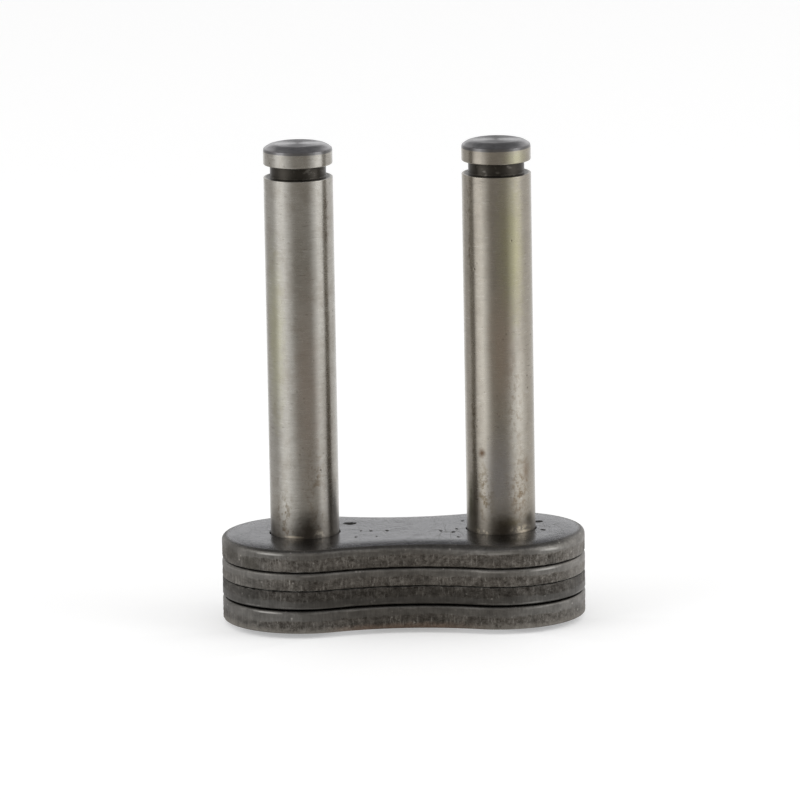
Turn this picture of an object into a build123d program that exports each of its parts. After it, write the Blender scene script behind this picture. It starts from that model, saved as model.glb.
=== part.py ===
from build123d import *

import os

# Connecting link of a duplex (two-strand) roller chain, size 08B-2, in millimetres.
# It stands on the spread ends of its two pins, with the three loose plates slid down onto the fixed one.
# X runs from pin to pin, Y across the plates and Z along the pins, with the origin on the ground
# midway between the pins.

# Chain size 08B-2
pitch = 12.7                # between the pin axes
pin_d = 4.45
transverse_pitch = 13.92    # between the two strands' centres
inner_link_width = 11.43    # over the plates of one strand's inner link

# Plates
outer_plate_thickness = 1.5
middle_plate_thickness = 1.2
plate_end_d = 10.8          # across the round ends
plate_waist_width = 8.75    # across the middle
bore_clearance = 0.05       # between a pin and a loose plate's bore, on the radius
stack_gap = 0.045           # between two plates that lie on each other
punch_roll = 0.28           # rounding that the punch leaves round one face of a plate
sheared_edge_break = 0.05   # edge break round the other face
bore_edge_break = 0.05      # at both ends of a loose plate's bores

# Pins
end_play = 0.5              # between the assembled chain's last plate and the clip groove
clip_groove_width = 0.82
clip_groove_d = 3.6
clip_groove_corner_r = 0.12
clip_groove_edge_r = 0.05   # where the groove's side meets the shaft
head_edge_r = 0.08          # where the groove's other side meets the head
head_length = 0.84          # full diameter beyond the clip groove
rim_height = 0.18           # slight taper where the end starts to narrow
rim_width = 0.03
crown_height = 0.305        # from that taper to the flat of the tip
crown_corner_d = 3.74       # where the crown's cone and the flat would meet
crown_blend_r = 1.0         # rounds that corner away
spread_end_d = 4.8          # riveted end below the fixed plate
spread_end_height = 0.35
spread_end_rim_r = 0.2

# Places along Z
strand_gap = transverse_pitch - inner_link_width
assembled_width = 2 * outer_plate_thickness + 2 * inner_link_width + strand_gap
fixed_plate_z = spread_end_height
lower_middle_z = fixed_plate_z + outer_plate_thickness + stack_gap
upper_middle_z = lower_middle_z + middle_plate_thickness + stack_gap
loose_outer_z = upper_middle_z + middle_plate_thickness + stack_gap
groove_z = fixed_plate_z + assembled_width + end_play


def plate_outline():
    """Two round ends at the pins, joined by hollow waist arcs tangent to both."""
    end_r = plate_end_d / 2
    waist = plate_waist_width / 2
    half_pitch = pitch / 2
    waist_r = (half_pitch**2 + waist**2 - end_r**2) / (2 * (end_r - waist))
    waist_centre_y = waist + waist_r
    tangent_x = half_pitch * waist_r / (waist_r + end_r)
    tangent_y = waist_centre_y * end_r / (waist_r + end_r)
    with BuildSketch() as outline:
        with BuildLine():
            ThreePointArc((-tangent_x, tangent_y), (0, waist), (tangent_x, tangent_y))
            ThreePointArc((tangent_x, tangent_y), (half_pitch + end_r, 0), (tangent_x, -tangent_y))
            ThreePointArc((tangent_x, -tangent_y), (0, -waist), (-tangent_x, -tangent_y))
            ThreePointArc((-tangent_x, -tangent_y), (-half_pitch - end_r, 0), (-tangent_x, tangent_y))
        make_face()
    return outline.sketch


def link_plate(thickness, bottom_z, bore_d, bore_break, rolled_face_up=True):
    """A punched plate: one face's rim is rolled round by the punch, the other's is nearly sharp."""
    with BuildPart() as plate:
        add(plate_outline())
        extrude(amount=thickness)
        top_rim = plate.faces().sort_by(Axis.Z)[-1].edges()
        fillet(top_rim, radius=punch_roll)
        bottom_rim = plate.faces().sort_by(Axis.Z)[0].edges()
        chamfer(bottom_rim, length=sheared_edge_break)
        with Locations((-pitch / 2, 0), (pitch / 2, 0)):
            Hole(radius=bore_d / 2)
        if bore_break > 0:
            chamfer(plate.edges().filter_by(GeomType.CIRCLE).filter_by(is_bore_rim), length=bore_break)
    solid = plate.part
    if not rolled_face_up:
        solid = Pos(0, 0, thickness) * Rot(180, 0, 0) * solid
    return Pos(0, 0, bottom_z) * solid


def is_bore_rim(edge):
    """Whole circles are the bores' rims; the outline's edges are open arcs."""
    return edge.is_closed


def bearing_pin(x):
    """A turned pin: crowned tip, short head, clip groove, shaft and spread end."""
    pin_r = pin_d / 2
    neck_r = clip_groove_d / 2
    head_z = groove_z + clip_groove_width
    rim_z = head_z + head_length
    crown_z = rim_z + rim_height
    tip_z = crown_z + crown_height
    tip, foot = (0, tip_z), (0, 0)
    # Distance from the axis and height of each corner, and the radius that rounds it
    corners = [
        ((crown_corner_d / 2, tip_z), crown_blend_r),
        ((pin_r - rim_width, crown_z), 0),
        ((pin_r, rim_z), 0),
        ((pin_r, head_z), head_edge_r),
        ((neck_r, head_z), clip_groove_corner_r),
        ((neck_r, groove_z), clip_groove_corner_r),
        ((pin_r, groove_z), clip_groove_edge_r),
        ((pin_r, spread_end_height), 0),
        ((spread_end_d / 2, spread_end_height), 0),
        ((spread_end_d / 2, 0), spread_end_rim_r),
    ]
    places = [place for place, _ in corners]
    radii = [radius for _, radius in corners]
    with BuildPart() as pin:
        with BuildSketch(Plane.XZ):
            with BuildLine():
                FilletPolyline(tip, *places, foot, radius=radii)
                Line(foot, tip)
            make_face()
        revolve(axis=Axis.Z)
    return Pos(x, 0, 0) * pin.part


os.makedirs("parts", exist_ok=True)

export_step(bearing_pin(-pitch / 2), "parts/left_bearing_pin.step")
export_step(bearing_pin(pitch / 2), "parts/right_bearing_pin.step")

fixed_outer_plate = link_plate(outer_plate_thickness, fixed_plate_z, pin_d, 0)
export_step(fixed_outer_plate, "parts/fixed_outer_plate.step")

loose_bore_d = pin_d + 2 * bore_clearance
lower_middle_plate = link_plate(
    middle_plate_thickness, lower_middle_z, loose_bore_d, bore_edge_break, rolled_face_up=False
)
export_step(lower_middle_plate, "parts/lower_middle_plate.step")

upper_middle_plate = link_plate(middle_plate_thickness, upper_middle_z, loose_bore_d, bore_edge_break)
export_step(upper_middle_plate, "parts/upper_middle_plate.step")

loose_outer_plate = link_plate(outer_plate_thickness, loose_outer_z, loose_bore_d, bore_edge_break)
export_step(loose_outer_plate, "parts/loose_outer_plate.step")
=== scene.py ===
"""Connecting link of a duplex roller chain: steel finishes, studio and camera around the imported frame.

The pins keep their CAD solids and get a ground finish. Each plate gets a fine mesh of its own in its
CAD solid's place, so that the sheared edge, its torn zone and the chips are real shapes. Sizes and
places on the object are in millimetres, those of the studio in metres, and colours are linear.
"""

import math

import bpy
import numpy as np
from mathutils import Matrix, Vector, geometry, noise


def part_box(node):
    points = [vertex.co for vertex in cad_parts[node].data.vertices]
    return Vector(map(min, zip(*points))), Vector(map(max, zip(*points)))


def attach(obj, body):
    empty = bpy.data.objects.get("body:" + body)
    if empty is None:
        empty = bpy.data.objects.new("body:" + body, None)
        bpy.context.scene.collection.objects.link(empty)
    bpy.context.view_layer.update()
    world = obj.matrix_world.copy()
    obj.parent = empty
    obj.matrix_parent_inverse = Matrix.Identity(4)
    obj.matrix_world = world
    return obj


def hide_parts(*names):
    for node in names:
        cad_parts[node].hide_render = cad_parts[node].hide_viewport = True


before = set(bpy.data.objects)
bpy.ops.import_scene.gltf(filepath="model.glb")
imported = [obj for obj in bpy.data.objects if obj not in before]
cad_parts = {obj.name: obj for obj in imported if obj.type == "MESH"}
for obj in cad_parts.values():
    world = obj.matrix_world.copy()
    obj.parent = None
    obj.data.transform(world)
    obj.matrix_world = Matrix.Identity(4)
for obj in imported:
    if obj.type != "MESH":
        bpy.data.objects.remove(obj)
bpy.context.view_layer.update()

MM = 0.001

# ---------------------------------------------------------------- facts of the object
PIN_D = 4.45
PLATE_WAIST_WIDTH = 8.75
SHEARED_BREAK = 0.05        # edge break round a plate's sheared face
BORE_BREAK = 0.05           # at both ends of a loose plate's bores
BORE_CLEARANCE = 0.05       # between a pin and a loose plate's bore, on the radius
ROLL_REACH = 1.3            # how far in from the roll the punch drew the face down

# Heights above the ground
STACK_TOP = 5.885           # the top plate's upper face, with the plates at rest
GROOVE_SIDES = (29.2, 30.02)
HEAD_TOP = 30.86            # where the ground head ends and the unground crown starts
CROWN_FOOT = 31.04          # where the crown turns from its steep rim to its cone
RUST_FOOT = 0.48            # below this the lowest plate's edge is rusty

# A plate's sheared edge. The torn zone's border is measured in parts of the plate's thickness.
TEAR_TOP = 0.55
TEAR_WAVES = 0.11           # how far the border waves up and down
TEAR_TEETH = 0.06           # the same for its fine teeth
TEAR_BLEND = 0.06           # half the height over which the land turns into the torn zone
TEAR_INSET = 0.02           # the torn zone lies this far behind the land
TEAR_ROUGHNESS = 0.03       # and this is how deep its lumps are
TEAR_LINES = 0.01
UNEVENNESS = 0.004          # walls, rolls and faces lie about this far behind their true places
FOOT_HEIGHT = 0.2           # the sheared face's rim is nicked up to here
FOOT_NICKS = 0.05

# How fine the plates' meshes are
RIM_COLUMNS = 960
BORE_COLUMNS = 128
ROLL_ROWS = 8
WALL_STEP = 0.052           # between rows on the sheared wall
FALL_ROWS = 8
FACE_BAND = (0.12, 0.3)     # two rings on the sheared face, this far in from its edge break
FACE_STEP = 0.24            # between points on the flat faces
FACE_CLEARANCE = 0.1        # from these points to the face's rim and bores
FACE_FADE = 0.8             # a face's unevenness grows from its rim over this distance
MARK_STEP = 0.05            # between points around a chip
MARK_CLEARANCE = 0.04
MARK_REACH = 1.4            # how far these finer points reach, in the chip's longer half length
SMOOTH_ANGLE = 40           # edges that turn by less, in degrees, are shaded smooth

# Chips and dents in the top plate's upper face: place, half lengths, depth, and turn in degrees
TOP_MARKS = (
    dict(x=-3.44, y=2.05, long=0.46, wide=0.36, depth=0.15, turn=0),
    dict(x=-2.74, y=-0.23, long=0.07, wide=0.16, depth=0.03, turn=0),
    dict(x=-2.10, y=-0.28, long=0.12, wide=0.20, depth=0.04, turn=0),
    dict(x=-1.04, y=-0.32, long=0.11, wide=0.20, depth=0.04, turn=0),
    dict(x=-3.11, y=-1.97, long=0.09, wide=0.20, depth=0.03, turn=0),
    dict(x=-1.76, y=-1.92, long=0.07, wide=0.15, depth=0.02, turn=0),
    dict(x=-2.45, y=3.20, long=0.14, wide=0.14, depth=0.02, turn=30),
    dict(x=2.40, y=-0.72, long=0.10, wide=0.20, depth=0.03, turn=20),
    dict(x=3.22, y=-1.10, long=0.13, wide=0.26, depth=0.04, turn=-20),
    dict(x=3.45, y=-0.20, long=0.12, wide=0.16, depth=0.02, turn=0),
    dict(x=2.84, y=-3.10, long=0.09, wide=0.24, depth=0.03, turn=0),
    dict(x=3.50, y=-2.55, long=0.10, wide=0.20, depth=0.03, turn=10),
    dict(x=3.90, y=2.10, long=0.12, wide=0.16, depth=0.03, turn=0),
    dict(x=8.80, y=1.45, long=0.34, wide=0.36, depth=0.07, turn=-12),
    dict(x=9.00, y=-1.00, long=0.16, wide=0.26, depth=0.03, turn=25),
)

PLATE_BODIES = {
    "fixed_outer_plate": "pin_link",
    "lower_middle_plate": "lower_middle",
    "upper_middle_plate": "upper_middle",
    "loose_outer_plate": "loose_outer",
}
# Each plate's shape: whether it is loose, whether its rolled face is the upper one, the roll's radius, how
# far the face is drawn down beside it, the seed, the chips in its upper face, and the places where the
# roll swells, with how far that reaches and what it adds to the radius
PLATES = {
    "fixed_outer_plate": dict(loose=False, rolled_up=True, roll=0.18, fall=0.02, seed=3.1),
    "lower_middle_plate": dict(loose=True, rolled_up=False, roll=0.15, fall=0.02, seed=17.4),
    "upper_middle_plate": dict(loose=True, rolled_up=True, roll=0.22, fall=0.02, seed=31.9),
    "loose_outer_plate": dict(
        loose=True, rolled_up=True, roll=0.28, fall=0.12, seed=46.2, marks=TOP_MARKS,
        swells=(dict(x=4.3, y=-4.7, reach=3.6, extra=0.26), dict(x=10.6, y=-3.0, reach=2.6, extra=0.24)),
    ),
}
# Each plate's finish: how bright its edge is overall, how rusty the edge's foot is, and the places where a
# painted highlight runs along the ridge between the edge and the roll, where fine dark lines are scratched
# over the face, each with how strong they are, and where the edge is smeared dark
PLATE_FINISH = {
    "fixed_outer_plate": dict(tone=0.86, rust=0.6, ridge_highlights=((-8.95, -4.9, 1.6),)),
    "lower_middle_plate": dict(tone=0.57),
    "upper_middle_plate": dict(tone=1.03, ridge_highlights=((9.0, -4.8, 4.1), (5.6, -5.2, 4.1))),
    "loose_outer_plate": dict(
        tone=1.00, ridge_highlights=((-8.6, -4.9, 5.6), (6.1, -5.4, 5.3), (9.4, -4.6, 5.6)),
        scribbled=((3.0, -0.9, STACK_TOP, 1.0), (9.4, 0.2, STACK_TOP, 0.7), (-9.3, 0.8, STACK_TOP, 0.5)),
        smeared=((-11.2, -2.4, 5.05), (-9.9, -4.0, 4.7)),
    ),
}
# Each pin's seed, how an oily film darkens and tints it, and how bright its crown is
PINS = {
    "left_bearing_pin": dict(seed=5.3, tone=(0.93, 0.918, 0.885), crown_tone=1.25),
    "right_bearing_pin": dict(seed=23.8, tone=(0.80, 0.752, 0.675), crown_tone=1.04),
}
# Stains on the pins, and two painted reflections: height above the ground, the way the place faces in
# degrees from the front towards the right, half width and half height, colour, and how strongly it covers. A
# film is broken up into fine specks.
PIN_STAINS_AND_REFLECTIONS = {
    "left_bearing_pin": (
        dict(z=19.0, facing=-50, wide=1.0, high=7.0, colour=(0.42, 0.41, 0.27), cover=0.55, film=False),
        dict(z=15.5, facing=8, wide=1.0, high=8.0, colour=(0.43, 0.36, 0.31), cover=0.5, film=False),
        dict(z=7.4, facing=-36, wide=0.9, high=1.9, colour=(0.12, 0.09, 0.05), cover=0.85, film=True),
        dict(z=9.4, facing=20, wide=0.8, high=4.2, colour=(0.20, 0.15, 0.10), cover=0.6, film=True),
        # A painted reflection: the dark patch at the front of the pin's foot
        dict(z=6.3, facing=4, wide=0.95, high=1.6, colour=(0.03, 0.026, 0.02), cover=0.93, film=False),
        dict(z=7.6, facing=60, wide=0.7, high=2.4, colour=(0.10, 0.094, 0.085), cover=0.8, film=False),
        dict(z=6.3, facing=-72, wide=0.6, high=1.0, colour=(0.07, 0.06, 0.05), cover=0.8, film=False),
        dict(z=6.2, facing=-34, wide=1.0, high=0.45, colour=(0.11, 0.075, 0.04), cover=0.7, film=True),
        dict(z=9.6, facing=-44, wide=0.35, high=0.5, colour=(0.11, 0.08, 0.05), cover=0.6, film=True),
        dict(z=26.5, facing=52, wide=0.35, high=2.6, colour=(0.13, 0.10, 0.075), cover=0.7, film=True),
        dict(z=20.5, facing=50, wide=0.35, high=3.0, colour=(0.15, 0.12, 0.09), cover=0.6, film=True),
        dict(z=13.0, facing=48, wide=0.5, high=4.0, colour=(0.15, 0.115, 0.085), cover=0.55, film=True),
        dict(z=13.0, facing=46, wide=0.75, high=9.0, colour=(0.19, 0.17, 0.145), cover=0.6, film=False),
        dict(z=6.9, facing=24, wide=0.7, high=1.0, colour=(0.13, 0.10, 0.07), cover=0.7, film=True),
    ),
    "right_bearing_pin": (
        dict(z=24.5, facing=22, wide=1.2, high=6.5, colour=(0.37, 0.355, 0.20), cover=0.6, film=False),
        dict(z=14.0, facing=26, wide=1.0, high=6.5, colour=(0.58, 0.56, 0.51), cover=0.45, film=False),
        dict(z=16.5, facing=-24, wide=0.8, high=13.0, colour=(0.54, 0.51, 0.45), cover=0.5, film=False),
        dict(z=18.0, facing=2, wide=1.0, high=5.0, colour=(0.42, 0.34, 0.27), cover=0.55, film=False),
        dict(z=9.6, facing=-4, wide=1.1, high=4.0, colour=(0.36, 0.355, 0.37), cover=0.6, film=False),
        dict(z=11.2, facing=-34, wide=0.34, high=0.42, colour=(0.10, 0.06, 0.035), cover=0.9, film=False),
        dict(z=10.0, facing=46, wide=0.45, high=1.0, colour=(0.20, 0.15, 0.11), cover=0.6, film=False),
        dict(z=7.6, facing=-62, wide=0.6, high=2.5, colour=(0.085, 0.08, 0.045), cover=0.8, film=False),
        dict(z=6.7, facing=54, wide=0.6, high=0.6, colour=(0.06, 0.055, 0.04), cover=0.8, film=False),
        dict(z=6.6, facing=16, wide=0.9, high=0.4, colour=(0.15, 0.125, 0.05), cover=0.6, film=False),
        dict(z=8.6, facing=-31, wide=0.8, high=2.6, colour=(0.15, 0.115, 0.07), cover=0.85, film=True),
        dict(z=8.6, facing=33, wide=1.1, high=3.1, colour=(0.16, 0.115, 0.07), cover=0.8, film=True),
        # A painted reflection: the dark patch at the front of the pin's foot
        dict(z=6.2, facing=0, wide=0.95, high=1.2, colour=(0.035, 0.028, 0.015), cover=0.9, film=False),
        dict(z=30.4, facing=34, wide=1.2, high=0.8, colour=(0.41, 0.40, 0.25), cover=0.5, film=False),
        dict(z=27.6, facing=-58, wide=0.4, high=1.6, colour=(0.10, 0.07, 0.045), cover=0.8, film=True),
        dict(z=24.2, facing=-56, wide=0.35, high=2.4, colour=(0.12, 0.09, 0.06), cover=0.7, film=True),
        dict(z=13.0, facing=-52, wide=0.4, high=4.0, colour=(0.14, 0.11, 0.075), cover=0.6, film=True),
        dict(z=14.5, facing=24, wide=0.9, high=4.5, colour=(0.21, 0.165, 0.115), cover=0.55, film=True),
    ),
}
# Pale residue just above the top plate, over the painted shade at the pin's foot, and a thin painted
# highlight there
PIN_RESIDUE_AND_HIGHLIGHTS = {
    "left_bearing_pin": (
        # A painted highlight: a thin pale arc where the pin meets the plate
        dict(z=5.97, facing=-20, wide=0.75, high=0.11, colour=(0.55, 0.48, 0.38), cover=0.85, film=False),
        dict(z=6.15, facing=26, wide=0.6, high=0.32, colour=(0.46, 0.42, 0.35), cover=0.7, film=True),
    ),
    "right_bearing_pin": (
        dict(z=6.1, facing=-34, wide=0.8, high=0.42, colour=(0.55, 0.49, 0.38), cover=0.85, film=True),
        dict(z=6.1, facing=34, wide=1.0, high=0.40, colour=(0.55, 0.49, 0.38), cover=0.85, film=True),
        # A painted highlight: a thin pale arc where the pin meets the plate
        dict(z=5.98, facing=40, wide=0.7, high=0.13, colour=(0.58, 0.51, 0.40), cover=0.7, film=False),
    ),
}

# Colours on the pins
SHAFT_DULL, SHAFT_BRIGHT = (0.41, 0.40, 0.378), (0.47, 0.457, 0.435)
GRIND_DARK, GRIND_BRIGHT = (0.25, 0.235, 0.21), (0.56, 0.55, 0.53)
NICK_DARK, NICK_BRIGHT = (0.17, 0.155, 0.135), (0.58, 0.57, 0.54)
SMUDGE = (0.27, 0.243, 0.205)
FOOT_SHADE_AND_GRIME = (0.085, 0.072, 0.058)
PIN_PIT = (0.10, 0.08, 0.06)
CROWN_DULL, CROWN_BARE = (0.24, 0.237, 0.243), (0.33, 0.326, 0.333)
CROWN_RIM = (0.06, 0.057, 0.055)
GROOVE_DARK, GROOVE_PAINTED_GLEAM = (0.055, 0.05, 0.043), (0.15, 0.14, 0.125)

# Colours on the plates' faces, then on their edges
FACE_DULL, FACE_BRIGHT = (0.19, 0.19, 0.195), (0.225, 0.225, 0.23)
SPECKLE = (0.12, 0.115, 0.11)
SCRATCH = (0.11, 0.108, 0.105)
SCRIBBLE = (0.05, 0.047, 0.043)
PLATE_PIT = (0.03, 0.028, 0.025)
CHIP_PAINTED_SHADE = (0.025, 0.023, 0.02)
LAND_DARK, LAND_PALE = (0.128, 0.122, 0.113), (0.178, 0.17, 0.158)
TEAR_DARK, TEAR_PALE = (0.053, 0.046, 0.039), (0.17, 0.157, 0.141)
TEAR_PAINTED_GLINT, TEAR_STROKE = (0.29, 0.275, 0.252), (0.045, 0.04, 0.034)
GLINT = (0.42, 0.40, 0.37)
SMEAR = (0.065, 0.06, 0.05)
PAINTED_RIDGE_HIGHLIGHT = (0.40, 0.39, 0.37)
FOOT_DULL, FOOT_RUSTY = (0.24, 0.222, 0.197), (0.24, 0.17, 0.13)

# Along the plates' edges, as X or as the distance from the middle
LEFT_LAND = (-9.9, -8.7)    # the torn zone fades away towards the left end
RIGHT_LAND = (9.9, 11.2)    # and towards the right end
PAINTED_LIGHT_RIGHTWARDS = (-4.0, 10.0)   # painted light: the edge is painted lighter towards the right
PAINTED_SHADE_OUTSIDE_PINS = (7.3, 9.2)      # painted shade: the edge is painted darker from here towards both ends
PAINTED_LIGHT_AT_ENDS = (9.7, 11.4)       # painted light: and lighter again at the very ends
RUST_ENDS = (4.5, 7.5)      # the rust turns to dull grey here
RUST_CLOUDS = 4.0           # or up to this much nearer the middle where the steel is cloudy


def fractal(x, y, z, octaves=3):
    return noise.fractal(Vector((x, y, z)), 0.9, 2.1, octaves)


def smoothstep(low, high, value):
    t = min(max((value - low) / (high - low), 0), 1)
    return t * t * (3 - 2 * t)


# ---------------------------------------------------------------- plates
class Outline:
    """A link plate's outline, from its CAD box: two round ends joined by hollow waist arcs."""

    def __init__(self, node):
        low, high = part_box(node)
        self.end_r = (high.y - low.y) / 2 / MM
        self.half_pitch = (high.x - low.x) / 2 / MM - self.end_r
        waist = PLATE_WAIST_WIDTH / 2
        self.waist_r = (self.half_pitch**2 + waist**2 - self.end_r**2) / (2 * (self.end_r - waist))
        self.waist_y = waist + self.waist_r
        self.half_waist = math.atan2(self.half_pitch, self.waist_y)
        self.bottom = low.z / MM
        self.thickness = high.z / MM - self.bottom

    def rim(self, columns):
        """Evenly spaced points round the outline, anticlockwise, and their outward normals."""
        turn = self.half_waist
        right_angle = math.pi / 2
        # Each arc's centre, radius, first and last angle, and 1 where it bulges or -1 where it is hollow
        arcs = (
            (self.half_pitch, 0, self.end_r, -right_angle - turn, right_angle + turn, 1),
            (0, self.waist_y, self.waist_r, turn - right_angle, -turn - right_angle, -1),
            (-self.half_pitch, 0, self.end_r, right_angle - turn, 3 * right_angle + turn, 1),
            (0, -self.waist_y, self.waist_r, right_angle + turn, right_angle - turn, -1),
        )
        lengths = [abs(end - start) * r for _, _, r, start, end, _ in arcs]
        places, normals = [], []
        for along in np.linspace(0, sum(lengths), columns, endpoint=False):
            arc = 0
            while along > lengths[arc]:
                along -= lengths[arc]
                arc += 1
            cx, cy, r, start, end, side = arcs[arc]
            angle = start + (end - start) * along / lengths[arc]
            out = np.array((math.cos(angle), math.sin(angle)))
            places.append((cx, cy) + r * out)
            normals.append(side * out)
        return np.array(places), np.array(normals)

    def depth_inside(self, x, y):
        """How far a point lies inside the outline, negative outside it."""
        x, y = abs(x), abs(y)
        if math.atan2(x, self.waist_y - y) < self.half_waist:
            return math.hypot(x, self.waist_y - y) - self.waist_r
        return self.end_r - math.hypot(x - self.half_pitch, y)


class PlateMesh:
    """Collects one plate's points and faces in millimetres, with the masks that its material reads."""

    def __init__(self):
        self.places, self.faces = [], []
        self.masks = {"torn": [], "edge": [], "chip": [], "ridge": []}

    def ring(self, points, **masks):
        """Adds points and gives back their numbers. A mask is one value, or one for each point."""
        first = len(self.places)
        self.places.extend(points)
        for name, values in self.masks.items():
            given = masks.get(name, 0.0)
            values.extend([given] * len(points) if isinstance(given, float) else given)
        return list(range(first, len(self.places)))

    def band(self, lower, upper):
        """Quads between two rings of the same count."""
        following = lower[1:] + lower[:1], upper[1:] + upper[:1]
        self.faces.extend(zip(lower, following[0], following[1], upper))


def roll_radii(rim, roll, swells):
    """The roll's radius at each point of the rim, which grows smoothly towards each swell."""
    radii = np.full(len(rim), roll)
    for swell in swells:
        away = np.hypot(rim[:, 0] - swell["x"], rim[:, 1] - swell["y"]) / swell["reach"]
        radii += swell["extra"] * np.exp(-away**2)
    return radii


def wall_rows(outline, rim, normals, radii, fall, seed):
    """Rows up the sheared wall and over the roll, each with its masks of the torn zone and of the ridge.

    The punch leaves a smooth burnished land under the roll. Below it the steel tore off, which
    leaves a rough zone that lies a little further in, with a ragged border. After the roll, the last
    FALL_ROWS rows are the edge of the face, which the punch drew down.
    """
    roll_slope = math.atan(2 * fall / ROLL_REACH)
    wall_tops = outline.thickness - fall - radii * math.cos(roll_slope)
    count = round((max(wall_tops) - SHEARED_BREAK) / WALL_STEP)
    border = []
    for x, y in rim:
        waves = TEAR_WAVES * fractal(x * 0.33, y * 0.33, seed, 2)
        teeth = TEAR_TEETH * fractal(x * 2.4, y * 2.4, seed + 5, 2)
        border.append(outline.thickness * (TEAR_TOP + waves + teeth))
    nicks = [FOOT_NICKS * max(fractal(x * 3.1, y * 3.1, seed + 9), 0) for x, y in rim]
    for row in range(count + 1):
        points, torn = [], []
        for (x, y), (nx, ny), wall_top, tear_z, nick in zip(rim, normals, wall_tops, border, nicks):
            z = SHEARED_BREAK + (wall_top - SHEARED_BREAK) * row / count
            below = smoothstep(TEAR_BLEND, -TEAR_BLEND, z - tear_z)
            lines = fractal(x * 5.5, y * 5.5, z * 0.5 + seed, 2)
            lumps = fractal(x * 3.6, y * 3.6, z * 2.6 + seed + 20)
            foot = smoothstep(FOOT_HEIGHT, 0.0, z - SHEARED_BREAK)
            tear = TEAR_INSET + TEAR_ROUGHNESS * lumps + TEAR_LINES * lines
            inset = max(UNEVENNESS * (1 + lines) + below * tear + foot * nick, 0)
            points.append((x - nx * inset, y - ny * inset, z))
            torn.append(below)
        yield points, torn, 1.0 if row == count else 0.0
    for step in range(1, ROLL_ROWS + 1):
        turn = (math.pi / 2 - roll_slope) * step / ROLL_ROWS
        points = []
        for (x, y), (nx, ny), wall_top, roll in zip(rim, normals, wall_tops, radii):
            z = wall_top + roll * math.sin(turn)
            dent = UNEVENNESS * (1 + fractal(x * 1.7, y * 1.7, z + seed, 2)) * math.cos(turn)
            inset = roll * (1 - math.cos(turn)) + dent
            points.append((x - nx * inset, y - ny * inset, z))
        yield points, 0.0, 1.0 if step == 1 else 0.0
    roll_insets = radii[:, None] * (1 - math.sin(roll_slope))
    flat_inset = roll_insets.max() + ROLL_REACH
    for step in range(1, FALL_ROWS + 1):
        part = step / FALL_ROWS
        insets = roll_insets + part * (flat_inset - roll_insets)
        z = outline.thickness - fall * (1 - part) ** 2
        yield [(x, y, z) for x, y in rim - normals * insets], 0.0, 0.0


def mark_depth(x, y, marks, seed):
    """How deep the chips go at a point of the face, and how far it lies inside one, from 0 to 1."""
    deepest, inside = 0.0, 0.0
    for mark in marks:
        turn = math.radians(mark["turn"])
        dx, dy = x - mark["x"], y - mark["y"]
        along = (dx * math.cos(turn) + dy * math.sin(turn)) / mark["long"]
        across = (dy * math.cos(turn) - dx * math.sin(turn)) / mark["wide"]
        reach = math.hypot(along, across) * (1 + 0.35 * fractal(x * 4, y * 4, seed, 2))
        deepest = max(deepest, mark["depth"] * smoothstep(1.0, 0.45, reach))
        inside = max(inside, smoothstep(1.05, 0.75, reach))
    return deepest, inside


def grid(low, high, step):
    """Points in staggered rows over a rectangle."""
    row_step = step * math.sqrt(3) / 2
    for row in range(math.ceil((high[1] - low[1]) / row_step) + 1):
        for column in range(math.ceil((high[0] - low[0]) / step) + 1):
            yield low[0] + (column + 0.5 * (row % 2)) * step, low[1] + row * row_step


def face_points(outline, margin, bore_r, marks):
    """Points over a flat face, clear of its rim ring and its bores, and finer round the marks."""
    def clearance(x, y):
        to_bore = math.hypot(abs(x) - outline.half_pitch, y) - bore_r
        return min(outline.depth_inside(x, y) - margin, to_bore)

    def reach(mark):
        return MARK_REACH * max(mark["long"], mark["wide"])

    def near(x, y, mark):
        return math.hypot(x - mark["x"], y - mark["y"]) < reach(mark)

    corner = np.array((outline.half_pitch + outline.end_r, outline.end_r))
    for x, y in grid(-corner, corner, FACE_STEP):
        if clearance(x, y) > FACE_CLEARANCE and not any(near(x, y, mark) for mark in marks):
            yield x, y
    for i, mark in enumerate(marks):
        centre = np.array((mark["x"], mark["y"]))
        for x, y in grid(centre - reach(mark), centre + reach(mark), MARK_STEP):
            taken = any(near(x, y, other) for other in marks[:i])
            if near(x, y, mark) and clearance(x, y) > MARK_CLEARANCE and not taken:
                yield x, y


def fill_face(mesh, outline, rim_ring, mouths, z, into, margin, bore_r, marks, seed):
    """Fills a flat face from its rim ring to its bores' mouths. into points into the steel: 1 or -1."""
    points, chips = [], []
    for x, y in face_points(outline, margin, bore_r, marks):
        fade = smoothstep(0, FACE_FADE, outline.depth_inside(x, y) - margin)
        hollow = UNEVENNESS * (1 + fractal(x * 0.45, y * 0.45, seed, 2)) * fade
        depth, inside = mark_depth(x, y, marks, seed)
        points.append((x, y, z + into * (hollow + depth)))
        chips.append(inside)
    loops = [rim_ring, *mouths]
    ids = [i for loop in loops for i in loop] + mesh.ring(points, chip=chips)
    flat = [Vector(mesh.places[i][:2]) for i in ids]
    fixed, first = [], 0
    for loop in loops:
        fixed += [(first + i, first + (i + 1) % len(loop)) for i in range(len(loop))]
        first += len(loop)
    corners, _, triangles, origins, *_ = geometry.delaunay_2d_cdt(flat, fixed, [], 0, 1e-7)
    for triangle in triangles:
        x, y = sum((corners[v] for v in triangle), Vector((0, 0))) / 3
        over_bore = math.hypot(abs(x) - outline.half_pitch, y) < bore_r
        if over_bore or outline.depth_inside(x, y) < margin:
            continue
        face = tuple(ids[origins[v][0]] for v in triangle)
        mesh.faces.append(face if into < 0 else face[::-1])


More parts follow.
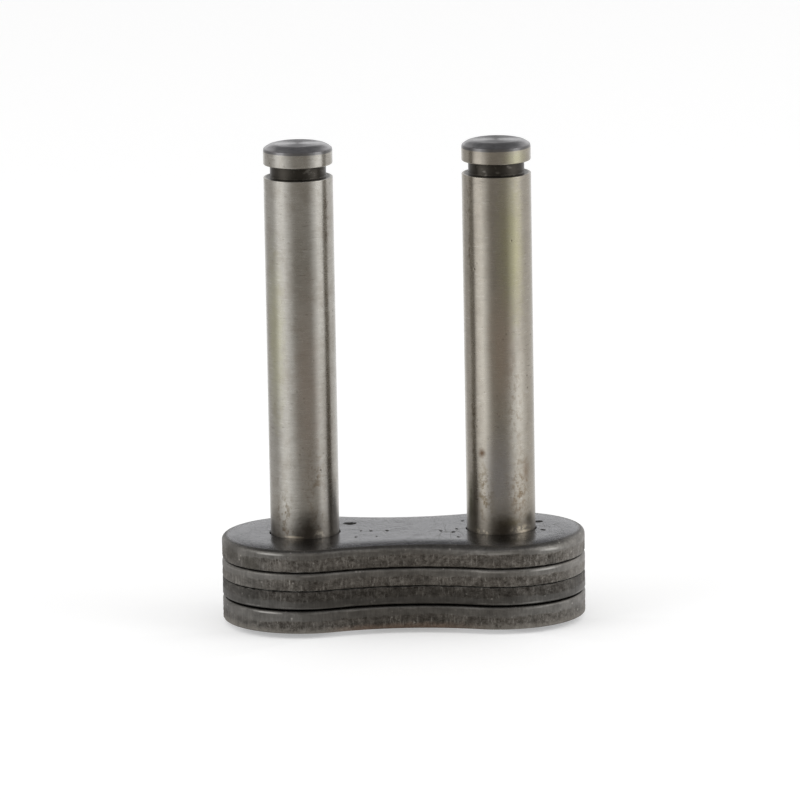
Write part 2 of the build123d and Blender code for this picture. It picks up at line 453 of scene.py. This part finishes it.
def bore_rings(mesh, outline, side, bore_r, chamfer):
    """A bore's wall from the lower face to the upper one. Gives back its first and last ring."""
    thickness = outline.thickness
    levels = [(bore_r, 0.0), (bore_r, thickness)]
    if chamfer:
        wide = bore_r + chamfer
        levels = [(wide, 0.0), (bore_r, chamfer), (bore_r, thickness - chamfer), (wide, thickness)]
    rings = []
    for r, z in levels:
        turns = np.linspace(0, 2 * math.pi, BORE_COLUMNS, endpoint=False)
        circle = [(side * outline.half_pitch + r * math.cos(t), r * math.sin(t), z) for t in turns]
        rings.append(mesh.ring(circle))
    for lower, upper in zip(rings, rings[1:]):
        mesh.band(upper, lower)
    return rings[0], rings[-1]


def plate_mesh(node, loose, rolled_up, roll, fall, seed, marks=(), swells=()):
    """A punched plate's mesh, made with its rolled face up and then turned over where that face is below."""
    outline = Outline(node)
    thickness = outline.thickness
    rim, normals = outline.rim(RIM_COLUMNS)
    mesh = PlateMesh()

    def sheared_ring(inset, edge=0.0):
        return mesh.ring([(x, y, 0.0) for x, y in rim - normals * inset], edge=edge)

    rings = [sheared_ring(SHEARED_BREAK + step) for step in reversed(FACE_BAND)]
    rings.append(sheared_ring(SHEARED_BREAK, edge=1.0))
    rows = list(wall_rows(outline, rim, normals, roll_radii(rim, roll, swells), fall, seed))
    for points, torn, ridge in rows[:-FALL_ROWS]:
        rings.append(mesh.ring(points, torn=torn, edge=1.0, ridge=ridge))
    for points, _, _ in rows[-FALL_ROWS:]:
        rings.append(mesh.ring(points))
    for lower, upper in zip(rings, rings[1:]):
        mesh.band(lower, upper)

    bore_r = PIN_D / 2 + (BORE_CLEARANCE if loose else 0)
    chamfer = BORE_BREAK if loose else 0
    bores = [bore_rings(mesh, outline, side, bore_r, chamfer) for side in (-1, 1)]
    low_mouths, high_mouths = zip(*bores)
    mouth_r = bore_r + chamfer
    low_margin = SHEARED_BREAK + FACE_BAND[-1]
    high_margin = outline.depth_inside(*mesh.places[rings[-1][0]][:2])
    fill_face(mesh, outline, rings[0], low_mouths, 0.0, 1, low_margin, mouth_r, (), seed + 60)
    fill_face(mesh, outline, rings[-1], high_mouths, thickness, -1, high_margin, mouth_r, marks, seed + 40)

    places, faces = np.array(mesh.places), mesh.faces
    if not rolled_up:
        places[:, 2] = thickness - places[:, 2]
        faces = [face[::-1] for face in faces]
    places[:, 2] += outline.bottom
    made = bpy.data.meshes.new(node + "_punched")
    made.from_pydata((places * MM).tolist(), [], faces)
    for name, values in mesh.masks.items():
        made.attributes.new(name, "FLOAT", "POINT").data.foreach_set("value", values)
    made.shade_smooth()
    made.set_sharp_from_angle(angle=math.radians(SMOOTH_ANGLE))
    return made


# ---------------------------------------------------------------- materials
class Nodes:
    """A material's node tree, with a short method for each kind of node that it needs."""

    def __init__(self, name):
        self.material = bpy.data.materials.new(name)
        self.material.use_nodes = True
        self.tree = self.material.node_tree
        self.shader = self.tree.nodes["Principled BSDF"]

    def add(self, kind, **settings):
        node = self.tree.nodes.new(kind)
        for key, value in settings.items():
            setattr(node, key, value)
        return node

    def feed(self, socket, value):
        """Links a socket, or sets a number or colour on it."""
        if isinstance(value, bpy.types.NodeSocket):
            self.tree.links.new(value, socket)
        elif socket.type == "RGBA":
            socket.default_value = (*value, 1.0)
        else:
            socket.default_value = value

    def math(self, operation, *values):
        node = self.add("ShaderNodeMath", operation=operation)
        for socket, value in zip(node.inputs, values):
            self.feed(socket, value)
        return node.outputs[0]

    def times(self, *values):
        product = values[0]
        for value in values[1:]:
            product = self.math("MULTIPLY", product, value)
        return product

    def most(self, *values):
        largest = values[0]
        for value in values[1:]:
            largest = self.math("MAXIMUM", largest, value)
        return largest

    def place(self, scale=(1, 1, 1), middle=(0, 0, 0), turn=0.0, seed=0.0):
        """The object's own coordinates in millimetres from a middle, turned, scaled and shifted."""
        coordinates = self.add("ShaderNodeTexCoord").outputs["Object"]
        first = self.add("ShaderNodeMapping")
        first.inputs["Location"].default_value = [-m for m in middle]
        first.inputs["Scale"].default_value = (1 / MM,) * 3
        self.feed(first.inputs["Vector"], coordinates)
        second = self.add("ShaderNodeMapping")
        second.inputs["Rotation"].default_value = (0, 0, turn)
        self.feed(second.inputs["Vector"], first.outputs[0])
        third = self.add("ShaderNodeMapping")
        third.inputs["Location"].default_value = (seed, seed * 1.7, seed * 0.6)
        third.inputs["Scale"].default_value = scale
        self.feed(third.inputs["Vector"], second.outputs[0])
        return third.outputs[0]

    def along(self, axis):
        """The object's own X, Y or Z in millimetres."""
        node = self.add("ShaderNodeSeparateXYZ")
        self.feed(node.inputs[0], self.place())
        return node.outputs[axis]

    def distance(self, vector):
        node = self.add("ShaderNodeVectorMath", operation="LENGTH")
        self.feed(node.inputs[0], vector)
        return node.outputs["Value"]

    def noise(self, scale, seed, middle=(0, 0, 0), turn=0.0, detail=3.0, roughness=0.55):
        """Noise whose scale is how many waves it has to a millimetre along X, Y and Z."""
        node = self.add("ShaderNodeTexNoise")
        self.feed(node.inputs["Vector"], self.place(scale, middle, turn, seed))
        for key, value in (("Scale", 1.0), ("Detail", detail), ("Roughness", roughness)):
            node.inputs[key].default_value = value
        return node.outputs["Fac"]

    def dots(self, scale, seed, full, edge, middle=(0, 0, 0)):
        """Dots, about scale to a millimetre: 1 out to full from their middles and 0 beyond edge.

        full and edge are in parts of the dots' spacing.
        """
        node = self.add("ShaderNodeTexVoronoi")
        self.feed(node.inputs["Vector"], self.place((scale, scale, scale), middle, seed=seed))
        node.inputs["Scale"].default_value = 1.0
        return self.ramp(node.outputs["Distance"], full, edge, 1.0, 0.0)

    def ramp(self, value, low, high, to_low=0.0, to_high=1.0):
        """Takes low..high to to_low..to_high and holds it there beyond."""
        node = self.add("ShaderNodeMapRange", clamp=True)
        names = ("Value", "From Min", "From Max", "To Min", "To Max")
        for name, number in zip(names, (value, low, high, to_low, to_high)):
            self.feed(node.inputs[name], number)
        return node.outputs["Result"]

    def line(self, value, width):
        """1 where a noise crosses its middle, which draws thin winding lines."""
        away = self.math("ABSOLUTE", self.math("SUBTRACT", value, 0.5))
        return self.ramp(away, 0.0, width, 1.0, 0.0)

    def spot(self, middle, radii, seed, soft=0.5):
        """1 inside a ragged blot round a point of the object, falling to 0 at its radii."""
        near = self.distance(self.place([1 / r for r in radii], middle))
        waver = self.math("SUBTRACT", self.noise((2.5, 2.5, 2.5), seed), 0.5)
        reach = self.math("MULTIPLY_ADD", waver, 0.7, near)
        return self.ramp(reach, 1.0 - soft, 1.0, 1.0, 0.0)

    def mask(self, name):
        return self.add("ShaderNodeAttribute", attribute_name=name).outputs["Fac"]

    def mix(self, factor, first, second, blend="MIX"):
        """Mixes two colours."""
        node = self.add("ShaderNodeMix", data_type="RGBA", blend_type=blend)
        self.feed(node.inputs[0], factor)
        self.feed(node.inputs[6], first)
        self.feed(node.inputs[7], second)
        return node.outputs[2]

    def between(self, factor, first, second):
        """Mixes two numbers."""
        node = self.add("ShaderNodeMix", data_type="FLOAT")
        self.feed(node.inputs[0], factor)
        self.feed(node.inputs[2], first)
        self.feed(node.inputs[3], second)
        return node.outputs[0]

    def bump(self, height, depth, below=None):
        """Relief of this depth in millimetres, on top of the relief below."""
        node = self.add("ShaderNodeBump")
        node.inputs["Strength"].default_value = 1.0
        node.inputs["Distance"].default_value = depth * MM
        self.feed(node.inputs["Height"], height)
        if below is not None:
            self.feed(node.inputs["Normal"], below)
        return node.outputs[0]

    def finish(self, colour, roughness, **others):
        """Feeds the shader. others are its remaining inputs, with _ for each space."""
        others.update(Base_Color=colour, Roughness=roughness)
        for key, value in others.items():
            self.feed(self.shader.inputs[key.replace("_", " ")], value)
        return self.material


def pin_material(node, seed, tone, crown_tone):
    """Ground bearing pin with a dark clip groove and an unground crown, oily and stained low down."""
    low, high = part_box(node)
    axis = ((low.x + high.x) / 2 / MM, (low.y + high.y) / 2 / MM, 0)
    pin_r = PIN_D / 2
    n = Nodes(node + "_ground_steel")
    z = n.along("Z")
    from_axis = n.distance(n.place((1, 1, 0), axis))

    def grain(scale, shift, **kind):
        return n.noise(scale, seed + shift, axis, **kind)

    cloud = grain((0.35, 0.35, 0.12), 0, detail=4)
    grind = grain((1.1, 1.1, 7.0), 3, detail=4, roughness=0.7)
    fine = grain((1.6, 1.6, 42.0), 7, detail=2)
    nicks = grain((1.5, 1.5, 9.0), 37, detail=3, roughness=0.6)
    smudge = grain((0.9, 0.9, 0.7), 9, detail=6, roughness=0.72)
    specks = n.ramp(grain((3.2, 3.2, 2.4), 17, detail=5, roughness=0.7), 0.48, 0.60)
    pits = n.dots(2.4, seed + 11, 0.10, 0.22, axis)
    pits = n.times(pits, n.ramp(grain((0.8, 0.8, 0.5), 13), 0.55, 0.68))

    colour = n.mix(n.ramp(cloud, 0.3, 0.7), SHAFT_DULL, SHAFT_BRIGHT)
    colour = n.mix(1.0, colour, tone, blend="MULTIPLY")
    colour = n.mix(n.ramp(grind, 0.42, 0.68, 0.0, 0.34), colour, GRIND_DARK)
    colour = n.mix(n.ramp(fine, 0.5, 0.75, 0.0, 0.15), colour, GRIND_BRIGHT)
    colour = n.mix(n.ramp(nicks, 0.63, 0.70, 0.0, 0.55), colour, NICK_DARK)
    colour = n.mix(n.ramp(nicks, 0.37, 0.30, 0.0, 0.45), colour, NICK_BRIGHT)
    colour = n.mix(n.ramp(smudge, 0.46, 0.66, 0.0, 0.5), colour, SMUDGE)

    def stained_and_painted(below, stains, first_seed):
        for i, stain in enumerate(stains):
            facing = math.radians(stain["facing"])
            middle = (axis[0] + pin_r * math.sin(facing), -pin_r * math.cos(facing), stain["z"])
            radii = (stain["wide"], stain["wide"], stain["high"])
            blot = n.spot(middle, radii, first_seed + i, soft=0.8)
            if stain["film"]:
                blot = n.times(blot, specks)
            below = n.mix(n.times(blot, stain["cover"]), below, stain["colour"])
        return below

    colour = stained_and_painted(colour, PIN_STAINS_AND_REFLECTIONS[node], seed)
    # Darker just above the top plate: painted shade where the pin meets the plate, also rougher like grime
    foot_shade_and_grime = n.math("MULTIPLY_ADD", cloud, -1.2, z)
    foot_shade_and_grime = n.ramp(foot_shade_and_grime, STACK_TOP - 0.9, STACK_TOP + 1.6, 1.0, 0.0)
    foot_shade_and_grime = n.times(foot_shade_and_grime, n.ramp(z, STACK_TOP - 0.2, STACK_TOP, 0.6, 1.0))
    colour = n.mix(n.times(foot_shade_and_grime, 0.78), colour, FOOT_SHADE_AND_GRIME)
    # Pale residue, and a painted highlight at the foot
    colour = stained_and_painted(colour, PIN_RESIDUE_AND_HIGHLIGHTS[node], seed + 50)
    colour = n.mix(n.times(pits, 0.7), colour, PIN_PIT)

    crown = n.ramp(n.math("MULTIPLY_ADD", cloud, 0.12, z), HEAD_TOP + 0.04, HEAD_TOP + 0.10)
    oxide = grain((1.4, 1.4, 1.4), 19, detail=5, roughness=0.65)
    dull, bare = [[crown_tone * part for part in tint] for tint in (CROWN_DULL, CROWN_BARE)]
    scale = n.mix(n.ramp(oxide, 0.35, 0.65), dull, bare)
    scale = n.mix(n.ramp(z, CROWN_FOOT - 0.03, CROWN_FOOT + 0.06, 0.65, 0.0), scale, CROWN_RIM)
    colour = n.mix(crown, colour, scale)
    in_groove = n.times(
        n.ramp(from_axis, pin_r - 0.22, pin_r - 0.04, 1.0, 0.0),
        n.ramp(z, GROOVE_SIDES[0] - 0.4, GROOVE_SIDES[0] - 0.3),
        n.ramp(z, GROOVE_SIDES[1] + 0.3, GROOVE_SIDES[1] + 0.4, 1.0, 0.0),
    )
    # Lighter patches in the groove: painted reflection of the head's shoulder
    groove_gleam = n.ramp(grain((1.5, 1.5, 3.0), 23, detail=4), 0.58, 0.7)
    colour = n.mix(in_groove, colour, n.mix(groove_gleam, GROOVE_DARK, GROOVE_PAINTED_GLEAM))

    rough = n.ramp(grind, 0.3, 0.75, 0.25, 0.34)
    rough = n.math("ADD", rough, n.times(n.most(in_groove, foot_shade_and_grime), 0.14))
    rough = n.math("ADD", rough, n.times(crown, 0.05))
    normal = n.bump(grain((0.40, 0.40, 0.10), 29, detail=1), 0.08)
    normal = n.bump(n.math("ADD", n.times(grind, 0.7), n.times(fine, 0.3)), 0.004, normal)
    normal = n.bump(n.math("SUBTRACT", 1.0, pits), 0.01, normal)
    tangent = n.add("ShaderNodeTangent", direction_type="RADIAL", axis="Z").outputs[0]
    sheen = dict(Metallic=1.0, Anisotropic=0.78, Anisotropic_Rotation=0.25)
    return n.finish(colour, rough, Normal=normal, Tangent=tangent, **sheen)


def plate_material(node, seed, tone, rust=0.0, ridge_highlights=(), scribbled=(), smeared=()):
    """Dull punched steel: scratched and speckled faces, a burnished land and a dark mottled torn zone."""
    n = Nodes(node + "_punched_steel")
    torn, edge, chip, ridge = [n.mask(name) for name in ("torn", "edge", "chip", "ridge")]
    x, z = n.along("X"), n.along("Z")
    from_middle = n.math("ABSOLUTE", x)

    def grain(scale, shift, **kind):
        return n.noise(scale, seed + shift, **kind)

    cloud = grain((0.30, 0.30, 0.30), 0, detail=5, roughness=0.6)
    speckle = grain((5.0, 5.0, 5.0), 2, detail=4, roughness=0.7)
    scratches = []
    for turn, stretch in ((0.35, 9.0), (-0.5, 12.0), (1.3, 8.0)):
        path = grain((0.12, stretch * 0.16, 0.2), stretch, turn=turn, detail=2)
        scratches.append(n.line(path, 0.012))
    scratch = n.times(n.most(*scratches), n.ramp(cloud, 0.38, 0.56))
    pits = n.dots(1.9, seed + 5, 0.08, 0.2)
    pits = n.times(pits, n.ramp(grain((0.5, 0.5, 0.5), 8), 0.52, 0.66))

    face = n.mix(n.ramp(cloud, 0.3, 0.7), FACE_DULL, FACE_BRIGHT)
    face = n.mix(n.ramp(speckle, 0.58, 0.75, 0.0, 0.3), face, SPECKLE)
    face = n.mix(n.times(scratch, 0.7), face, SCRATCH)
    for *place, cover in scribbled:
        path = grain((1.3, 0.5, 1.0), 41, middle=place, detail=1)
        blot = n.spot(place, (1.6, 3.0, 1.0), seed + 43, soft=0.6)
        face = n.mix(n.times(n.line(path, 0.045), blot, cover), face, SCRIBBLE)
    face = n.mix(n.times(pits, 0.8), face, PLATE_PIT)
    # Painted shade: the chips' hollows are painted nearly black
    face = n.mix(n.times(chip, 0.9), face, CHIP_PAINTED_SHADE)

    upright = grain((7.0, 7.0, 1.6), 20, detail=4, roughness=0.75)
    mottle = grain((2.2, 2.2, 3.4), 23, detail=7, roughness=0.82)
    strokes = grain((3.2, 3.2, 0.5), 45, detail=3, roughness=0.6)
    land = n.mix(n.ramp(upright, 0.36, 0.68), LAND_DARK, LAND_PALE)
    tear = n.mix(n.ramp(mottle, 0.38, 0.60), TEAR_DARK, TEAR_PALE)
    # Painted glints on the torn zone's grain
    tear = n.mix(n.ramp(upright, 0.53, 0.67, 0.0, 0.75), tear, TEAR_PAINTED_GLINT)
    tear = n.mix(n.ramp(strokes, 0.47, 0.38, 0.0, 0.38), tear, TEAR_STROKE)
    plain = n.ramp(x, *LEFT_LAND, 0.45, 1.0), n.ramp(x, *RIGHT_LAND, 1.0, 0.3)
    wall = n.mix(n.times(torn, *plain), land, tear)
    glints = n.dots(2.2, seed + 37, 0.08, 0.20)
    glints = n.times(glints, n.ramp(grain((0.6, 0.6, 0.6), 39), 0.50, 0.62))
    wall = n.mix(n.times(glints, 0.75), wall, GLINT)
    blotches = grain((0.9, 0.9, 1.6), 26, detail=4, roughness=0.65)
    # Painted light and shade along the edges, by X and by the distance from the middle, times random
    # blotches of tone
    painted_light_and_blotches = n.times(
        n.ramp(x, *PAINTED_LIGHT_RIGHTWARDS, tone, 1.22 * tone),
        n.ramp(from_middle, *PAINTED_SHADE_OUTSIDE_PINS, 1.0, 0.80),
        n.ramp(from_middle, *PAINTED_LIGHT_AT_ENDS, 1.0, 1.6),
        n.ramp(blotches, 0.34, 0.66, 0.79, 1.21),
    )
    wall = n.mix(1.0, wall, painted_light_and_blotches, blend="MULTIPLY")
    for place in smeared:
        wall = n.mix(n.times(n.spot(place, (1.0, 1.0, 0.6), seed + 47), 0.6), wall, SMEAR)
    # Painted highlight along the ridge between the edge and the roll, stronger round the listed places
    ridge_highlight = n.ramp(grain((0.7, 0.7, 0.7), 31, detail=4), 0.48, 0.7, 0.0, 0.35)
    for place in ridge_highlights:
        ridge_highlight = n.most(ridge_highlight, n.times(n.spot(place, (1.1, 1.1, 0.5), seed + 33), 0.7))
    wall = n.mix(n.times(ridge, ridge_highlight), wall, PAINTED_RIDGE_HIGHLIGHT)
    if rust:
        foot = n.math("MULTIPLY_ADD", mottle, -0.9, z)
        foot = n.ramp(foot, RUST_FOOT - 0.45, RUST_FOOT - 0.15, rust, 0.0)
        brown = n.ramp(n.math("MULTIPLY_ADD", cloud, RUST_CLOUDS, from_middle), *RUST_ENDS, 1.0, 0.0)
        wall = n.mix(foot, wall, n.mix(brown, FOOT_DULL, FOOT_RUSTY))
    colour = n.mix(edge, face, wall)

    face_rough = n.most(n.ramp(speckle, 0.3, 0.7, 0.17, 0.25), n.times(chip, 0.9))
    wall_rough = n.ramp(torn, 0.0, 1.0, 0.40, 0.56)
    rough = n.between(edge, face_rough, wall_rough)
    face_relief = n.math("SUBTRACT", n.times(speckle, 0.5), n.most(n.times(scratch, 0.6), pits))
    lines = n.times(upright, n.ramp(torn, 0.0, 1.0, 0.4, 1.0))
    wall_relief = n.math("ADD", lines, n.times(mottle, torn, 1.5))
    normal = n.bump(n.times(face_relief, n.math("SUBTRACT", 1.0, edge)), 0.007)
    normal = n.bump(n.times(wall_relief, edge), 0.02, normal)
    metal = n.math("SUBTRACT", 1.0, chip)
    return n.finish(colour, rough, Normal=normal, Metallic=metal, Specular_Tint=(0.85, 0.85, 0.86))


# ---------------------------------------------------------------- studio
# Angles in degrees: azimuth 0 is towards the camera's side (-Y), and it grows towards +X
CAMERA = dict(azimuth=-1.065, elevation=11.672, roll=-0.976, distance=0.4572, lens=319.1)
CAMERA_AIM = (-0.000065, 0.0, 0.014426)

FLOOR_R = 1.6
FLOOR_SIDES = 96
FLOOR_COLOUR = (0.82, 0.82, 0.82)
FLOOR_GLOW = 0.32
WORLD_LIGHT = 0.72
SOFTBOX_AIM = (0, 0, 0.015)
# Name, azimuth, elevation, distance, width and height, and watts
SOFTBOXES = (
    ("left_softbox", -66, 24, 0.45, (0.30, 0.36), 0.5),
    ("right_softbox", 74, 24, 0.45, (0.30, 0.36), 0.5),
)
# Cards round the object, which only reflections see. They give bright metal its darker bands: name,
# azimuth of the middle, half turns of the full shade and of its feathered border, height and colour
CARDS = (
    ("front_card", 4, 22, 54, 0.15, (0.385, 0.366, 0.341)),
    ("left_card", -118, 18, 40, 0.30, (0.66, 0.65, 0.64)),
    ("right_card", 120, 16, 36, 0.30, (0.92, 0.91, 0.90)),
)
CARD_R, CARD_FADE = 0.30, 0.05
CARD_COLUMNS = 48
# A far dark strip just over the floor behind the object: as a card, with its radius and its fade's height
HORIZON = dict(azimuth=180, full=26, border=40, r=1.2, height=0.07, rise=0.04, colour=(0.30, 0.30, 0.30))
# The dark ceiling: middle, half width and half depth, colour, and each ring's part of these with its feather
CEILING_MIDDLE = (-0.03, 0.20, 0.30)
CEILING_R = (0.46, 0.62)
CEILING_COLOUR = (0.19, 0.188, 0.192)
CEILING_RINGS = ((0.78, 0.0), (0.89, 0.4), (1.0, 1.0))


def outward(azimuth, elevation=0.0):
    """Unit vector from the object."""
    a, e = math.radians(azimuth), math.radians(elevation)
    return Vector((math.sin(a) * math.cos(e), -math.cos(a) * math.cos(e), math.sin(e)))


def seen_directly(tree):
    """1 for what the camera, a reflection or a refraction sees, and 0 for the light that falls on things."""
    path = tree.nodes.new("ShaderNodeLightPath")
    seen = path.outputs["Is Camera Ray"]
    for name in ("Is Glossy Ray", "Is Transmission Ray"):
        either = tree.nodes.new("ShaderNodeMath")
        either.operation = "MAXIMUM"
        tree.links.new(seen, either.inputs[0])
        tree.links.new(path.outputs[name], either.inputs[1])
        seen = either.outputs[0]
    return seen


def white_world():
    """White where it is seen, and plain soft light where it isn't."""
    world = bpy.data.worlds.new("studio")
    world.use_nodes = True
    tree = world.node_tree
    background = tree.nodes["Background"]
    strength = tree.nodes.new("ShaderNodeMapRange")
    strength.inputs["To Min"].default_value = WORLD_LIGHT
    strength.inputs["To Max"].default_value = 1.0
    tree.links.new(seen_directly(tree), strength.inputs["Value"])
    tree.links.new(strength.outputs["Result"], background.inputs["Strength"])
    background.inputs["Color"].default_value = (1, 1, 1, 1)
    world.cycles.sampling_method = "NONE"
    bpy.context.scene.world = world


def stage_mesh(name, points, faces, material):
    mesh = bpy.data.meshes.new(name)
    mesh.from_pydata(points, [], faces)
    mesh.materials.append(material)
    made = bpy.data.objects.new(name, mesh)
    bpy.context.scene.collection.objects.link(made)
    return made


def floor():
    """A round pale floor, which keeps the object's shadow."""
    n = Nodes("pale_floor")
    glow = n.times(seen_directly(n.tree), FLOOR_GLOW)
    n.finish(FLOOR_COLOUR, 0.9, Emission_Color=(1, 1, 1), Emission_Strength=glow)
    n.material.cycles.emission_sampling = "NONE"
    turns = [2 * math.pi * i / FLOOR_SIDES for i in range(FLOOR_SIDES)]
    rim = [(FLOOR_R * math.cos(t), FLOOR_R * math.sin(t), 0) for t in turns]
    stage_mesh("floor", rim, [tuple(range(FLOOR_SIDES))], n.material)


def card(name, points, faces, feather, colour):
    """A card that only reflections see. feather is 0 at its colour and 1 at white, for each point."""
    n = Nodes(name)
    glow = n.mix(n.mask("feather"), colour, (1, 1, 1))
    n.finish((0.0, 0.0, 0.0), 1.0, Emission_Color=glow, Emission_Strength=1.0, Specular_IOR_Level=0.0)
    n.material.cycles.emission_sampling = "NONE"
    made = stage_mesh(name, points, faces, n.material)
    made.data.attributes.new("feather", "FLOAT", "POINT").data.foreach_set("value", feather)
    made.visible_camera = False
    made.visible_diffuse = False
    made.visible_shadow = False
    made.visible_transmission = False


def curved_card(name, azimuth, full, border, profile, colour):
    """A card curved round the object. profile gives the radius, height and feather of each of its rows."""
    points, feather = [], []
    for i in range(CARD_COLUMNS + 1):
        turn = border * (2 * i / CARD_COLUMNS - 1)
        out = outward(azimuth + turn)
        side = smoothstep(full, border, abs(turn))
        for r, z, fade in profile:
            points.append((out.x * r, out.y * r, z))
            feather.append(max(side, fade))
    rows = len(profile)
    faces = []
    for i in range(CARD_COLUMNS):
        for first in range(rows * i, rows * i + rows - 1):
            faces.append((first, first + rows, first + rows + 1, first + 1))
    card(name, points, faces, feather, colour)


def standing_card(name, azimuth, full, border, height, colour):
    """A card with a skirt on the floor, feathered to white at both sides and at its top."""
    profile = (
        (0.003, 0.0001, 0.0),
        (CARD_R, 0.0001, 0.0),
        (CARD_R, height, 0.0),
        (CARD_R, height + CARD_FADE, 1.0),
    )
    curved_card(name, azimuth, full, border, profile, colour)


def horizon(azimuth, full, border, r, height, rise, colour):
    """The far edge of the table, as bright metal mirrors it."""
    profile = ((r, 0.001, 0.0), (r, height, 0.0), (r, height + rise, 1.0))
    curved_card("horizon", azimuth, full, border, profile, colour)


def ceiling_card():
    """A dark round card overhead, feathered to white at its rim."""
    x, y, z = CEILING_MIDDLE
    points, feather = [CEILING_MIDDLE], [0.0]
    for part, fade in CEILING_RINGS:
        for i in range(CARD_COLUMNS):
            out = outward(360 * i / CARD_COLUMNS)
            points.append((x + out.x * part * CEILING_R[0], y + out.y * part * CEILING_R[1], z))
            feather.append(fade)
    rings = []
    for first in range(1, len(points), CARD_COLUMNS):
        ring = list(range(first, first + CARD_COLUMNS))
        rings.append(ring + ring[:1])
    faces = [(0, here, following) for here, following in zip(rings[0], rings[0][1:])]
    for inner, outer in zip(rings, rings[1:]):
        faces += zip(inner, outer, outer[1:], inner[1:])
    card("ceiling_card", points, faces, feather, CEILING_COLOUR)


def softboxes():
    for name, azimuth, elevation, distance, size, watts in SOFTBOXES:
        lamp = bpy.data.lights.new(name, "AREA")
        lamp.shape = "RECTANGLE"
        lamp.size, lamp.size_y = size
        lamp.energy = watts
        box = bpy.data.objects.new(name, lamp)
        away = outward(azimuth, elevation)
        box.location = Vector(SOFTBOX_AIM) + away * distance
        box.rotation_euler = away.to_track_quat("Z", "Y").to_euler()
        box.visible_camera = False
        bpy.context.scene.collection.objects.link(box)


def camera():
    """A long lens at the photographed angle, aimed at the middle of its frame."""
    data = bpy.data.cameras.new("camera")
    data.lens = CAMERA["lens"]
    data.clip_start, data.clip_end = 0.01, 20
    made = bpy.data.objects.new("camera", data)
    away = outward(CAMERA["azimuth"], CAMERA["elevation"])
    made.location = Vector(CAMERA_AIM) + away * CAMERA["distance"]
    roll = Matrix.Rotation(math.radians(CAMERA["roll"]), 3, "Z")
    made.rotation_euler = (away.to_track_quat("Z", "Y").to_matrix() @ roll).to_euler()
    bpy.context.scene.collection.objects.link(made)
    bpy.context.scene.camera = made


# ---------------------------------------------------------------- the object
for pin, finish in PINS.items():
    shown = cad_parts[pin]
    shown.data.materials.clear()
    shown.data.materials.append(pin_material(pin, **finish))

for name, facts in PLATES.items():
    shape = plate_mesh(name, **facts)
    shape.materials.append(plate_material(name, facts["seed"], **PLATE_FINISH[name]))
    plate = bpy.data.objects.new(name + "_punched", shape)
    bpy.context.scene.collection.objects.link(plate)
    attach(plate, PLATE_BODIES[name])
    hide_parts(name)

white_world()
floor()
for card_facts in CARDS:
    standing_card(*card_facts)
horizon(**HORIZON)
ceiling_card()
softboxes()
camera()
bpy.context.scene.view_settings.view_transform = "Standard"
